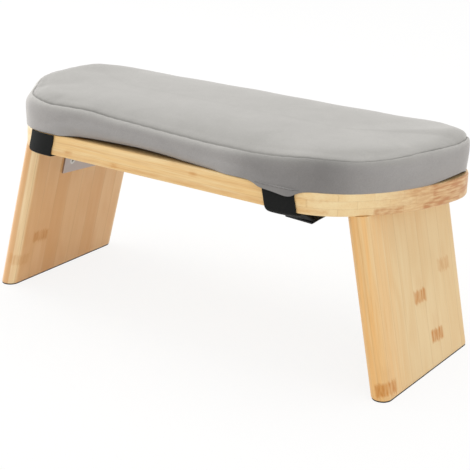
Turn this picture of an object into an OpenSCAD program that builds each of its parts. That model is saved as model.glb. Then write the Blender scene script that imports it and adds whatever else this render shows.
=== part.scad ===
// Folding kneeling bench: a bamboo seat board on two folding bamboo legs, with a strapped-on cushion.
// Millimetres, +Z up, +X along the board, +Y towards the low front edge of the seat.

/* [Seat board] */
// Length of the board along X
board_length = 480; // [420:1:560]
// Depth of the board along the slope
board_depth = 214; // [196:1:250]
// Thickness of the board
board_thickness = 21; // [16:0.5:28]
// Corner radius beside the high rear edge
rear_corner_radius = 64; // [52:1:76]
// Corner radius beside the low front edge
front_corner_radius = 64; // [52:1:76]
// Radius of the long arc at each end
end_arc_radius = 206; // [184:1:280]
// Slope of the seat, high at the rear
seat_tilt = 5; // [0:0.5:9]
// Height of the board's underside above the floor, midway across the legs
underside_height = 160; // [140:1:190]

/* [Legs] */
// Width of a leg panel
leg_width = 162; // [130:1:172]
// Thickness of a leg panel
leg_thickness = 20; // [16:0.5:24]
// Angle at which an open leg leans outwards
leg_splay = 13; // [8:0.5:16]
// From the board's end to the leg's outer face
leg_inset = 31; // [24:1:40]
// From the board's rear edge to the leg's rear edge
leg_setback = 30; // [24:1:38]
// Clearance between an open leg and the board it stops against
leg_stop_gap = 0.1; // [0.05:0.05:0.3]
// Thickness of the rubber pad under a leg
foot_pad_thickness = 1.2; // [0.6:0.1:4]
// How far the pad stands inside the leg's outline
foot_pad_inset = 0.5; // [0.2:0.1:2]

/* [Hinges] */
// Length of a hinge along its pin
hinge_length = 68; // [56:1:84]
// Width of a leaf, from the pin to its free edge
leaf_width = 42; // [36:1:46]
// Thickness of a leaf
leaf_thickness = 2; // [1.6:0.1:2.6]
// Gap between the two leaves of a closed hinge
leaf_gap = 2; // [1.6:0.1:3]
// Number of knuckles along one hinge
knuckle_count = 5; // [3:2:7]
// Gap between neighbouring knuckles
knuckle_play = 0.3; // [0.2:0.05:0.6]
// Clearance between the barrel and the wood
barrel_clearance = 0.1; // [0.05:0.05:0.3]
// Diameter of the hinge pin
pin_diameter = 3; // [2.4:0.1:3.6]
// Radial clearance of the pin in the leg's knuckles
pin_clearance = 0.05; // [0.02:0.01:0.09]
// Diameter of the pin's end caps
pin_cap_diameter = 4.6; // [4:0.1:5.2]
// Thickness of the pin's end caps
pin_cap_thickness = 0.8; // [0.4:0.1:1.5]

/* [Hinge screws] */
// Distance between the two outer screws of a leaf
screw_spacing = 44; // [36:1:48]
// From the pin to the two outer screws
outer_screw_reach = 29; // [26:1:31]
// From the pin to the middle screw
middle_screw_reach = 14; // [12:1:18]
// Diameter of a screw's shank
screw_diameter = 3.6; // [3:0.1:4.2]
// Diameter of a screw's flat head
screw_head_diameter = 7.4; // [6.8:0.1:8]
// Length of a screw, head included
screw_length = 14; // [10:0.5:16]
// Width of the cross slots in a screw head
screw_slot_width = 0.9; // [0.6:0.1:1.2]
// Depth of the cross slots in a screw head
screw_slot_depth = 1.1; // [0.6:0.1:1.4]

/* [Cushion] */
// Height of the cushion's side up to the top seam
cushion_side = 31; // [24:1:40]
// Rise of the top from the seam to the middle
cushion_crown = 6; // [2:0.5:10]
// How far the side swells out between its seams
cushion_swell = 1.5; // [0.5:0.5:5]
// How far the cushion's foot stands out past the board's edge
cushion_overhang = 0.8; // [0.2:0.1:4]
// How far the top seam lies inside the cushion's foot
cushion_seam_inset = 4; // [1:0.5:6]
// How far the foot of the long sides draws in midway between the straps
cushion_draw_in = 6; // [0:0.5:8]
// Thickness of the cover cloth with its lining
cover_thickness = 1.6; // [1.2:0.1:2.4]
// Thickness of the non-slip cloth under the cushion
base_thickness = 1.2; // [0.8:0.1:2]
// Clearance round the foam and the base cloth
cushion_clearance = 0.3; // [0.2:0.05:0.6]

/* [Straps] */
// Width of the elastic straps
strap_width = 35; // [30:1:42]
// Thickness of the straps and of the hook tape
strap_thickness = 1.5; // [1.2:0.1:2]
// Clearance between a strap and the board's edge
strap_clearance = 0.2; // [0.1:0.05:0.4]
// From the board's right end to the middle of the right straps
right_strap_inset = 101; // [90:1:115]
// From the board's left end to the middle of the left straps
left_strap_inset = 84; // [82:1:100]
// Width of the hook tape
tape_width = 28; // [20:1:30]
// Length of the hook tape
tape_length = 65; // [50:1:75]
// How far a rear strap drops past the board's underside before it turns under
wrap_drop = 3; // [0:0.5:5]
// From the board's rear edge to the free end of the hook tape
tape_setback = 30; // [26:1:34]
// How far the free end of the right hook tape hangs under the board
right_tape_drop = 17; // [9:0.5:18]
// How far the free end of the left hook tape hangs under the board
left_tape_drop = 9; // [9:0.5:18]
// Length of strap sewn to the hook tape
tape_overlap = 20; // [12:1:25]
// Length of the rear strap that lies on the hook tape
grip_length = 62; // [48:1:68]

/* [Hidden] */
$fn = 96;
slack = 1;
arc_steps = 5;
straight_steps = 8;
side_steps = 6;
crown_steps = 5;
bend_steps = 8;
crown_core = 0.2;
crown_power = 3;
seam_power = 4;
tape_layer = 1;
grip_layer = 2;
bend_share = 1 / 3;

rear_edge = -leg_width / 2 - leg_setback;
board_middle = rear_edge + board_depth / 2;
front_edge = rear_edge + board_depth;

flank_centre = [board_length / 2 - end_arc_radius, front_edge - front_corner_radius];
front_centre = [board_length / 2 - front_corner_radius, front_edge - front_corner_radius];
rear_centre_y = rear_edge + rear_corner_radius;
rear_centre_run = sqrt((end_arc_radius - rear_corner_radius) ^ 2 - (flank_centre.y - rear_centre_y) ^ 2);
rear_centre = [flank_centre.x + rear_centre_run, rear_centre_y];
flank_angle = atan2(rear_centre.y - flank_centre.y, rear_centre_run);

pin_drop = leaf_thickness + leaf_gap / 2;
barrel_radius = pin_drop - barrel_clearance;
knuckle_pitch = hinge_length / knuckle_count;
leg_inner_x = board_length / 2 - leg_inset - leg_thickness / cos(leg_splay);
pin_x = leg_inner_x + pin_drop * tan(leg_splay) - pin_drop / cos(leg_splay);
leg_reach = 2 * underside_height;

right_strap_x = board_length / 2 - right_strap_inset;
left_strap_x = board_length / 2 - left_strap_inset;
tape_end = rear_edge + tape_setback;
tape_start = tape_end + tape_length;
front_strap_end = tape_start - tape_overlap;
strap_rear = (rear_edge - strap_clearance - strap_thickness) * cos(seat_tilt) - wrap_drop * sin(seat_tilt);

side_out = [for (i = [0:side_steps])
    let (share = i / side_steps)
    cushion_overhang + cushion_swell * sin(180 * share) - cushion_seam_inset * share ^ seam_power];
cover_extent = [for (i = [0:side_steps]) edge_extent(i)];
middle_y = (min([strap_rear, each [for (e = cover_extent) e[0]]]) + max([for (e = cover_extent) e[1]])) / 2;

// Where the cushion's side, at one step of its height, lies furthest back and furthest forward
function edge_extent(i) =
    let (v = board_thickness + cushion_side * i / side_steps)
    [(rear_edge - side_out[i]) * cos(seat_tilt) + v * sin(seat_tilt),
     (front_edge + side_out[i]) * cos(seat_tilt) + v * sin(seat_tilt)];

// Rise of one side's slanting straps for each step towards the front
function strap_slope(side) = (side < 0 ? left_tape_drop : right_tape_drop) / (front_edge - tape_end);

// Height of the underside of the slanting straps below the board, at a place across its depth
function strap_line(side, y) = -strap_thickness - (front_edge - y) * strap_slope(side);

// Points of the board's right end from rear to front, each with the direction of its outward normal
function end_points() = concat(
    [for (i = [0:arc_steps])
        let (a = -90 + (flank_angle + 90) * i / arc_steps)
        [rear_centre.x + rear_corner_radius * cos(a), rear_centre.y + rear_corner_radius * sin(a), a]],
    [for (i = [1:arc_steps])
        let (a = flank_angle * (1 - i / arc_steps))
        [flank_centre.x + end_arc_radius * cos(a), flank_centre.y + end_arc_radius * sin(a), a]],
    [for (i = [1:arc_steps + 1])
        let (a = 90 * i / (arc_steps + 1))
        [front_centre.x + front_corner_radius * cos(a), front_centre.y + front_corner_radius * sin(a), a]]);

// Closed loop of the board's outline, anticlockwise, with outward directions
function outline_points() =
    let (right = end_points())
    let (last = len(right) - 1)
    concat(
        right,
        [for (i = [1:straight_steps - 1])
            [right[last].x * (1 - 2 * i / straight_steps), front_edge, 90]],
        [for (i = [0:last]) [-right[last - i].x, right[last - i].y, 180 - right[last - i].z]],
        [for (i = [1:straight_steps - 1])
            [-right[0].x * (1 - 2 * i / straight_steps), rear_edge, 270]]);

// One ring of the cushion: the outline moved outwards and drawn in along the sides
function cushion_ring(points, out, draw, height) =
    [for (p = points)
        let (drawn = draw * max(0, cos(90 * p.x / left_strap_x)) * sin(p.z) ^ 2)
        [p.x + (out - drawn) * cos(p.z), p.y + (out - drawn) * sin(p.z), height]];

// One ring of the crown: the seam's ring drawn towards a line along the middle of the seat
function crown_ring(ring, k, height) =
    let (half = board_length / 2 - board_depth / 2)
    [for (p = ring)
        let (foot = [max(-half, min(half, p.x)), board_middle])
        [foot.x + (p.x - foot.x) * k, foot.y + (p.y - foot.y) * k, height]];

// Rings of the cushion's form, shrunk by inset on every side, from its foot up to its crown
function cushion_rings(inset, foot) =
    let (points = outline_points())
    let (top = cushion_side - inset)
    let (side = [for (i = [0:side_steps])
        let (share = i / side_steps)
        let (draw = cushion_draw_in * (1 - share))
        cushion_ring(points, side_out[i] - inset, draw, foot + (top - foot) * share)])
    let (crown = [for (i = [1:crown_steps])
        let (k = 1 - (1 - crown_core) * i / crown_steps)
        crown_ring(side[side_steps], k, top + cushion_crown * sqrt(1 - k ^ crown_power))])
    concat(side, crown);

// A closed skin over rings of equal count, triangulated, with a fan from the middle at each end
module ring_solid(rings) {
    n = len(rings[0]);
    last = len(rings) - 1;
    middles = [for (r = [rings[0], rings[last]]) [0, board_middle, r[0].z]];
    low = len(rings) * n;
    walls = [for (j = [0:last - 1], i = [0:n - 1])
        let (a = j * n + i, b = j * n + (i + 1) % n)
        each [[a, a + n, b], [b, a + n, b + n]]];
    bottom = [for (i = [0:n - 1]) [low, i, (i + 1) % n]];
    top = [for (i = [0:n - 1]) [low + 1, last * n + (i + 1) % n, last * n + i]];
    polyhedron(points = concat([for (r = rings) each r], middles), faces = concat(walls, bottom, top));
}

// Polygon of even thickness along a path in the plane
function thick_path(path, thickness) =
    let (last = len(path) - 1)
    let (normals = [for (i = [0:last])
        let (run = path[min(last, i + 1)] - path[max(0, i - 1)])
        [-run.y, run.x] / norm(run)])
    concat(
        [for (i = [0:last]) path[i] + normals[i] * thickness / 2],
        [for (i = [last:-1:0]) path[i] - normals[i] * thickness / 2]);

function bezier(a, b, c, d, t) =
    a * (1 - t) ^ 3 + b * 3 * t * (1 - t) ^ 2 + c * 3 * t ^ 2 * (1 - t) + d * t ^ 3;

// Places children that are drawn in the seat's own axes: y down its slope, z square to the board
module in_seat() {
    translate([0, -middle_y, underside_height]) rotate([-seat_tilt, 0, 0]) children();
}

// Places children that are drawn for the right hinge, with the pin along y and its leaf towards -x
module at_pin(side) {
    in_seat() mirror([side < 0 ? 1 : 0, 0, 0]) translate([pin_x, 0, -pin_drop]) children();
}

// Turns the folded leg and leaf, drawn below the pin's level, to their open place
module opened() {
    rotate([0, -90 - leg_splay, 0]) children();
}

module end_outline(out) {
    translate(rear_centre) circle(r = rear_corner_radius + out);
    translate(front_centre) circle(r = front_corner_radius + out);
    tangent = flank_centre + (end_arc_radius + out) * [cos(flank_angle), sin(flank_angle)];
    intersection() {
        translate(flank_centre) circle(r = end_arc_radius + out);
        polygon([tangent, [board_length, tangent.y], [board_length, flank_centre.y],
            [board_length / 2 + out, flank_centre.y]]);
    }
    polygon([[0, rear_edge - out], [rear_centre.x, rear_edge - out], tangent,
        [board_length / 2 + out, flank_centre.y],
        [front_centre.x, front_edge + out], [0, front_edge + out]]);
}

module board_outline(out = 0) {
    end_outline(out);
    mirror([1, 0]) end_outline(out);
}

module seat_board() {
    color("burlywood") in_seat() difference() {
        linear_extrude(board_thickness) board_outline();
        for (side = [-1, 1]) mirror([side < 0 ? 1 : 0, 0, 0])
            translate([pin_x, 0, -pin_drop]) screw_holes();
    }
}

module cushion_cover() {
    color("darkgray") in_seat() translate([0, 0, board_thickness]) difference() {
        ring_solid(cushion_rings(0, 0));
        ring_solid(cushion_rings(cover_thickness, -slack));
    }
}

module foam_pad() {
    color("lemonchiffon") in_seat() translate([0, 0, board_thickness])
        ring_solid(cushion_rings(cover_thickness + cushion_clearance, base_thickness + cushion_clearance));
}

module cushion_base() {
    out = cushion_overhang - cover_thickness - cushion_clearance;
    ring = cushion_ring(outline_points(), out, cushion_draw_in, 0);
    color("dimgray") in_seat() translate([0, 0, board_thickness])
        linear_extrude(base_thickness) polygon([for (p = ring) [p.x, p.y]]);
}

// A panel with fully rounded long edges, lying below the pin's level as when the leg is folded
module leg_panel(inset = 0) {
    radius = leg_thickness / 2 - inset;
    half = leg_width / 2 - leg_thickness / 2;
    translate([-leg_reach, 0, -pin_drop - leg_thickness / 2]) {
        translate([0, -half, -radius]) cube([leg_reach + leg_width, 2 * half, 2 * radius]);
        for (y = [-half, half]) translate([0, y, 0]) rotate([0, 90, 0])
            cylinder(r = radius, h = leg_reach + leg_width);
    }
}

module slab(low, high) {
    translate([-board_length, -board_length, low]) cube([2 * board_length, 2 * board_length, high - low]);
}

module leg(side) {
    color("burlywood") intersection() {
        at_pin(side) opened() difference() {
            leg_panel();
            mirror([0, 0, 1]) screw_holes();
        }
        in_seat() slab(-leg_reach, -leg_stop_gap);
        slab(foot_pad_thickness, leg_reach);
    }
}

module foot_pad(side) {
    color("black") intersection() {
        at_pin(side) opened() leg_panel(foot_pad_inset);
        slab(0, foot_pad_thickness);
    }
}

// Screw places on a leaf, measured from the pin
function screw_places() = [
    [-outer_screw_reach, -screw_spacing / 2],
    [-middle_screw_reach, 0],
    [-outer_screw_reach, screw_spacing / 2]];

module screw_shape() {
    head_radius = screw_head_diameter / 2;
    shank_radius = screw_diameter / 2;
    cylinder(r1 = head_radius, r2 = shank_radius, h = leaf_thickness);
    cylinder(r = shank_radius, h = screw_length);
}

module screw_holes() {
    for (p = screw_places()) translate([p.x, p.y, leaf_gap / 2]) screw_shape();
}

module screw() {
    difference() {
        screw_shape();
        for (turn = [0, 90]) rotate(turn)
            translate([-screw_diameter / 2, -screw_slot_width / 2, -slack])
            cube([screw_diameter, screw_slot_width, slack + screw_slot_depth]);
    }
}

module leaf_screws() {
    color("silver") for (p = screw_places()) translate([p.x, p.y, leaf_gap / 2]) screw();
}

// A hinge leaf above the pin's level; parity picks the knuckles that it owns
module leaf(parity, bore) {
    first = -hinge_length / 2;
    color("lightsteelblue") difference() {
        union() {
            translate([-leaf_width, first, leaf_gap / 2]) cube([leaf_width, hinge_length, leaf_thickness]);
            for (k = [parity:2:knuckle_count - 1])
                translate([0, first + k * knuckle_pitch + knuckle_play / 2, 0]) rotate([-90, 0, 0])
                cylinder(r = barrel_radius, h = knuckle_pitch - knuckle_play);
        }
        for (k = [1 - parity:2:knuckle_count - 1])
            translate([-barrel_radius - slack / 2, first + k * knuckle_pitch - knuckle_play / 2, 0])
            cube([leaf_width, knuckle_pitch + knuckle_play, pin_drop + slack]);
        for (end = [first - slack, -first - knuckle_play / 2])
            translate([-barrel_radius - slack / 2, end, 0])
            cube([leaf_width, slack + knuckle_play / 2, pin_drop + slack]);
        translate([0, first - slack, 0]) rotate([-90, 0, 0])
            cylinder(r = pin_diameter / 2 + bore, h = hinge_length + 2 * slack);
        screw_holes();
    }
}

module seat_leaf(side) {
    at_pin(side) leaf(0, 0);
}

module leg_leaf(side) {
    at_pin(side) opened() mirror([0, 0, 1]) leaf(1, pin_clearance);
}

module seat_screws(side) {
    at_pin(side) leaf_screws();
}

module leg_screws(side) {
    at_pin(side) opened() mirror([0, 0, 1]) leaf_screws();
}

module hinge_pin(side) {
    color("gray") at_pin(side) translate([0, -hinge_length / 2, 0]) rotate([-90, 0, 0]) {
        cylinder(d = pin_diameter, h = hinge_length);
        for (z = [-pin_cap_thickness, hinge_length]) translate([0, 0, z])
            cylinder(d = pin_cap_diameter, h = pin_cap_thickness);
    }
}

function strap_place(side) = side < 0 ? -left_strap_x : right_strap_x;

// Keeps the part of a strap that lies within its width
module across(side, width) {
    translate([strap_place(side) - width / 2, -board_length, -board_length])
        cube([width, 2 * board_length, 2 * board_length]);
}

// The stretch of strap that follows the board's edge, at the rear for way -1 and at the front for way 1
module edge_wrap(side, way, drop = 0) {
    intersection() {
        translate([0, 0, -drop]) linear_extrude(board_thickness - strap_clearance + drop) difference() {
            board_outline(strap_clearance + strap_thickness);
            board_outline(strap_clearance);
        }
        across(side, strap_width);
        translate([-board_length, way < 0 ? -board_length : board_middle, -drop - slack])
            cube([2 * board_length, board_length + (way < 0 ? board_middle : 0), 2 * board_thickness]);
    }
}

// A profile in the y and z plane, carried across a strap's width and trimmed to the wrap's outline
module under_strap(side, width, profile) {
    intersection() {
        translate([strap_place(side) - width / 2, 0, 0])
            rotate([90, 0, 90]) linear_extrude(width) polygon(profile);
        translate([0, 0, -board_thickness]) linear_extrude(2 * board_thickness)
            board_outline(strap_clearance + strap_thickness);
    }
}

module rear_strap(side) {
    lift = grip_layer * strap_thickness + strap_thickness * norm([1, strap_slope(side)]) / 2;
    edge = [rear_edge - strap_clearance - strap_thickness / 2, 0];
    meet = [tape_end + strap_thickness, strap_line(side, tape_end + strap_thickness) + lift];
    sag = [edge.x, meet.y];
    turn = edge.x + tape_setback * bend_share;
    bend = [for (i = [0:bend_steps])
        bezier(edge, (edge + sag) / 2, [turn, strap_line(side, turn) + lift], meet, i / bend_steps)];
    grip_end = tape_end + grip_length;
    path = concat([edge + [0, strap_thickness]], bend, [[grip_end, strap_line(side, grip_end) + lift]]);
    color("black") in_seat() {
        edge_wrap(side, -1, wrap_drop);
        under_strap(side, strap_width, thick_path(path, strap_thickness));
    }
}

module front_strap(side) {
    edge = front_edge + strap_clearance + strap_thickness;
    low = strap_line(side, front_strap_end);
    profile = [[front_strap_end, low],
        [front_edge, -strap_thickness], [edge, 0], [edge, strap_thickness],
        [edge - strap_thickness, strap_thickness], [edge - strap_thickness, 0],
        [front_edge, -strap_clearance / 2], [front_strap_end, low + strap_thickness]];
    color("black") in_seat() {
        edge_wrap(side, 1);
        under_strap(side, strap_width, profile);
    }
}

module hook_tape(side) {
    corners = [[tape_end, tape_layer], [tape_start, tape_layer],
        [tape_start, grip_layer], [tape_end, grip_layer]];
    profile = [for (p = corners) [p.x, strap_line(side, p.x) + p.y * strap_thickness]];
    color("black") in_seat() under_strap(side, tape_width, profile);
}

seat_board();
cushion_cover();
cushion_base();
foam_pad();
leg(-1);  // left_leg
leg(1);  // right_leg
foot_pad(-1);  // left_foot_pad
foot_pad(1);  // right_foot_pad
seat_leaf(-1);  // left_seat_leaf
seat_leaf(1);  // right_seat_leaf
leg_leaf(-1);  // left_leg_leaf
leg_leaf(1);  // right_leg_leaf
hinge_pin(-1);  // left_hinge_pin
hinge_pin(1);  // right_hinge_pin
seat_screws(-1);  // left_seat_screws
seat_screws(1);  // right_seat_screws
leg_screws(-1);  // left_leg_screws
leg_screws(1);  // right_leg_screws
rear_strap(-1);  // left_rear_strap
rear_strap(1);  // right_rear_strap
front_strap(-1);  // left_front_strap
front_strap(1);  // right_front_strap
hook_tape(-1);  // left_hook_tape
hook_tape(1);  // right_hook_tape
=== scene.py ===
import math
import bmesh
import bpy
import numpy as np
from mathutils import Matrix, Vector


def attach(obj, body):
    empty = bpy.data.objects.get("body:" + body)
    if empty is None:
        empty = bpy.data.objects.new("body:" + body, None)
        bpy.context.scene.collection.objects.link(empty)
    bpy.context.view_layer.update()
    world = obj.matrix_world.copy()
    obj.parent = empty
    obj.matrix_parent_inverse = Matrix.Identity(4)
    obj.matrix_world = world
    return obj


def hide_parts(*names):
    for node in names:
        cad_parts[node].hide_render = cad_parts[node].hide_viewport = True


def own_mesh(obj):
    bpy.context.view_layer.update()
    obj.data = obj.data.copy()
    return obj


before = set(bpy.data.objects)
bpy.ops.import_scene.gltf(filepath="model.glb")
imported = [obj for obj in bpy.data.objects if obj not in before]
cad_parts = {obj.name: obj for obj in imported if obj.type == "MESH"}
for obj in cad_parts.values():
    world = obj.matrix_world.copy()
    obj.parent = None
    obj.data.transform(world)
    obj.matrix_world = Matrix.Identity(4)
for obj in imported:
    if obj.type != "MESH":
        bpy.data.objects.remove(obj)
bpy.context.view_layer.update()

# Sizes are in millimetres here and become metres when a mesh is made
seat = {"tilt": 5.0, "height": 160.0, "shift": 2.35059, "rearEdge": -111.0, "frontEdge": 103.0}
tiltCos, tiltSin = math.cos(math.radians(seat["tilt"])), math.sin(math.radians(seat["tilt"]))


def fromSeat(points):
    # seat axes to the shared frame: x stays, u runs down the slope, v stands square to the board
    x, u, v = np.moveaxis(np.asarray(points, float), -1, 0)
    y = seat["shift"] + u * tiltCos + v * tiltSin
    z = seat["height"] - u * tiltSin + v * tiltCos
    return np.stack([x, y, z], -1) / 1000


def smoothStep(low, high, value):
    # three t squared less two t cubed, of the value's clipped share between low and high
    t = np.clip((value - low) / (high - low), 0, 1)
    return t * t * (3 - 2 * t)


def meshPiece(name, points, faces, attributes=None, smoothAngle=40):
    # one mesh object at the origin; faces are index rows, and a closed skin of negative volume is turned
    points = np.asarray(points, float)
    mesh = bpy.data.meshes.new(name)
    mesh.from_pydata(points.tolist(), [], [list(map(int, f)) for f in faces])
    mesh.update()
    mesh.calc_loop_triangles()
    corners = np.empty(len(mesh.loop_triangles) * 3, int)
    mesh.loop_triangles.foreach_get("vertices", corners)
    a, b, c = np.moveaxis(points[corners.reshape(-1, 3)], 1, 0)
    if np.einsum("ij,ij->", a, np.cross(b, c)) < 0:
        mesh.flip_normals()
    for key, values in (attributes or {}).items():
        values = np.asarray(values, np.float32)
        wide = values.ndim > 1
        layer = mesh.attributes.new(key, "FLOAT_VECTOR" if wide else "FLOAT", "POINT")
        layer.data.foreach_set("vector" if wide else "value", values.ravel())
    mesh.polygons.foreach_set("use_smooth", np.ones(len(mesh.polygons), bool))
    mesh.set_sharp_from_angle(angle=math.radians(smoothAngle))
    piece = bpy.data.objects.new(name, mesh)
    bpy.context.scene.collection.objects.link(piece)
    return piece


def ringFaces(rows, columns, capped=True):
    # quads between neighbouring rings of a closed loop and, where capped, one flat face over each end
    index = np.arange(rows * columns).reshape(rows, columns)
    turned = np.roll(index, -1, axis=1)
    quads = np.stack([index[:-1], turned[:-1], turned[1:], index[1:]], -1).reshape(-1, 4)
    faces = quads.tolist()
    if capped:
        faces += [index[0, ::-1].tolist(), index[-1].tolist()]
    return faces


def stripFaces(rows, columns):
    # rings of a long thin loop that starts mid-rear; the first and the last are bridged from front to rear
    faces = ringFaces(rows, columns, False)
    half = columns // 2
    order = (columns // 4 + np.arange(columns)) % columns
    k = np.arange(1, half - 1)
    for row, turn in ((0, 1), (rows - 1, -1)):
        ring = row * columns + order
        across = np.stack([ring[k], ring[k + 1], ring[columns - k - 1], ring[columns - k]], -1)
        faces += across[:, ::turn].tolist()
        ends = [[ring[0], ring[1], ring[-1]], [ring[half], ring[half + 1], ring[half - 1]]]
        faces += [end[::turn] for end in ends]
    return faces


# Materials

def linearColour(code, shade=1.0):
    # an sRGB hex code as linear red, green, blue and alpha; shade multiplies the three colours
    parts = [int(code[i:i + 2], 16) / 255 for i in (1, 3, 5)]
    return [shade * (c / 12.92 if c <= 0.04045 else ((c + 0.055) / 1.055) ** 2.4) for c in parts] + [1.0]


def addNode(owner, kind, inputs=None, out=0, **settings):
    # one node of a material or the world; an input's value is a number, a colour or another node's output
    tree = owner.node_tree
    node = tree.nodes.new("ShaderNode" + kind)
    for key, value in settings.items():
        setattr(node, key, value)
    for key, value in (inputs or {}).items():
        if isinstance(value, bpy.types.NodeSocket):
            tree.links.new(value, node.inputs[key])
        else:
            node.inputs[key].default_value = value
    return node.outputs[out]


def newMaterial(name):
    # a material with an empty node tree
    material = bpy.data.materials.new(name)
    material.use_nodes = True
    material.node_tree.nodes.clear()
    return material


def finishMaterial(material, surface):
    # joins the finished shader to the material's output
    output = material.node_tree.nodes.new("ShaderNodeOutputMaterial")
    material.node_tree.links.new(surface, output.inputs["Surface"])
    return material


bambooLook = {
    "pale": "#f5deac", "honey": "#e8c38a", "fibre": "#d6a05a", "edge": "#efc888", "glueLine": "#a97c47",
    "node": "#c9842f", "endGrain": "#c2854f",
    "thickness": 21.0, "plyThickness": 7.0, "plyShift": 14.0, "stripWidth": 28.0, "firstJoint": 18.0,
    "glueWidth": 0.4, "toneRange": 0.3, "bands": 0.08, "clouds": 0.4, "streaks": 0.12, "edgeStreaks": 0.5,
    "edgeEven": 0.25, "stripLine": 0.3, "plyLine": 0.32, "roughness": 0.42,
}
legLook = {
    "pale": "#e8cc9a", "honey": "#ddb478", "edge": "#efbb75",
    "thickness": 20.0, "plyThickness": 6.67, "plyShift": 7.0, "stripWidth": 19.5, "firstJoint": 2.0,
    "toneRange": 0.15, "bands": 0.16, "clouds": 0.4, "streaks": 0.14, "edgeEven": 0.4, "stripLine": 0.4,
}
# the left leg's copy: its pinker, darker wood is partly its own tone and partly painted warm shade of the
# face under the seat; its pale edge colour is a painted highlight
warmShadeAndHighlightLook = {"pale": "#eac291", "honey": "#deaa71", "edge": "#fde6b8", "toneRange": 0.7, "clouds": 0.45,
              "edgeStreaks": 0.2, "stripLine": 0.5}
# the grain's noises: waves per millimetre along, across and through the wood, detail, roughness, distortion,
# and whether each strip has its own stretch; bands are 5 mm wide, fibres 1.2 mm, clouds 20 mm, and a growth
# node's bars 2.5 mm
grainNoises = {
    "band": ((0.009, 0.2, 0.2), 2.0, 0.6, 0.4, True),
    "fibre": ((0.025, 0.85, 0.85), 3.0, 0.6, 0.0, True),
    "cloud": ((0.012, 0.05, 0.05), 1.0, 0.35, 0.8, True),
    "bars": ((0.05, 0.4, 0.4), 3.0, 0.55, 0.0, False),
    "endLines": ((0.3, 0.05, 0.55), 2.0, 0.5, 0.0, False),
}


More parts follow.
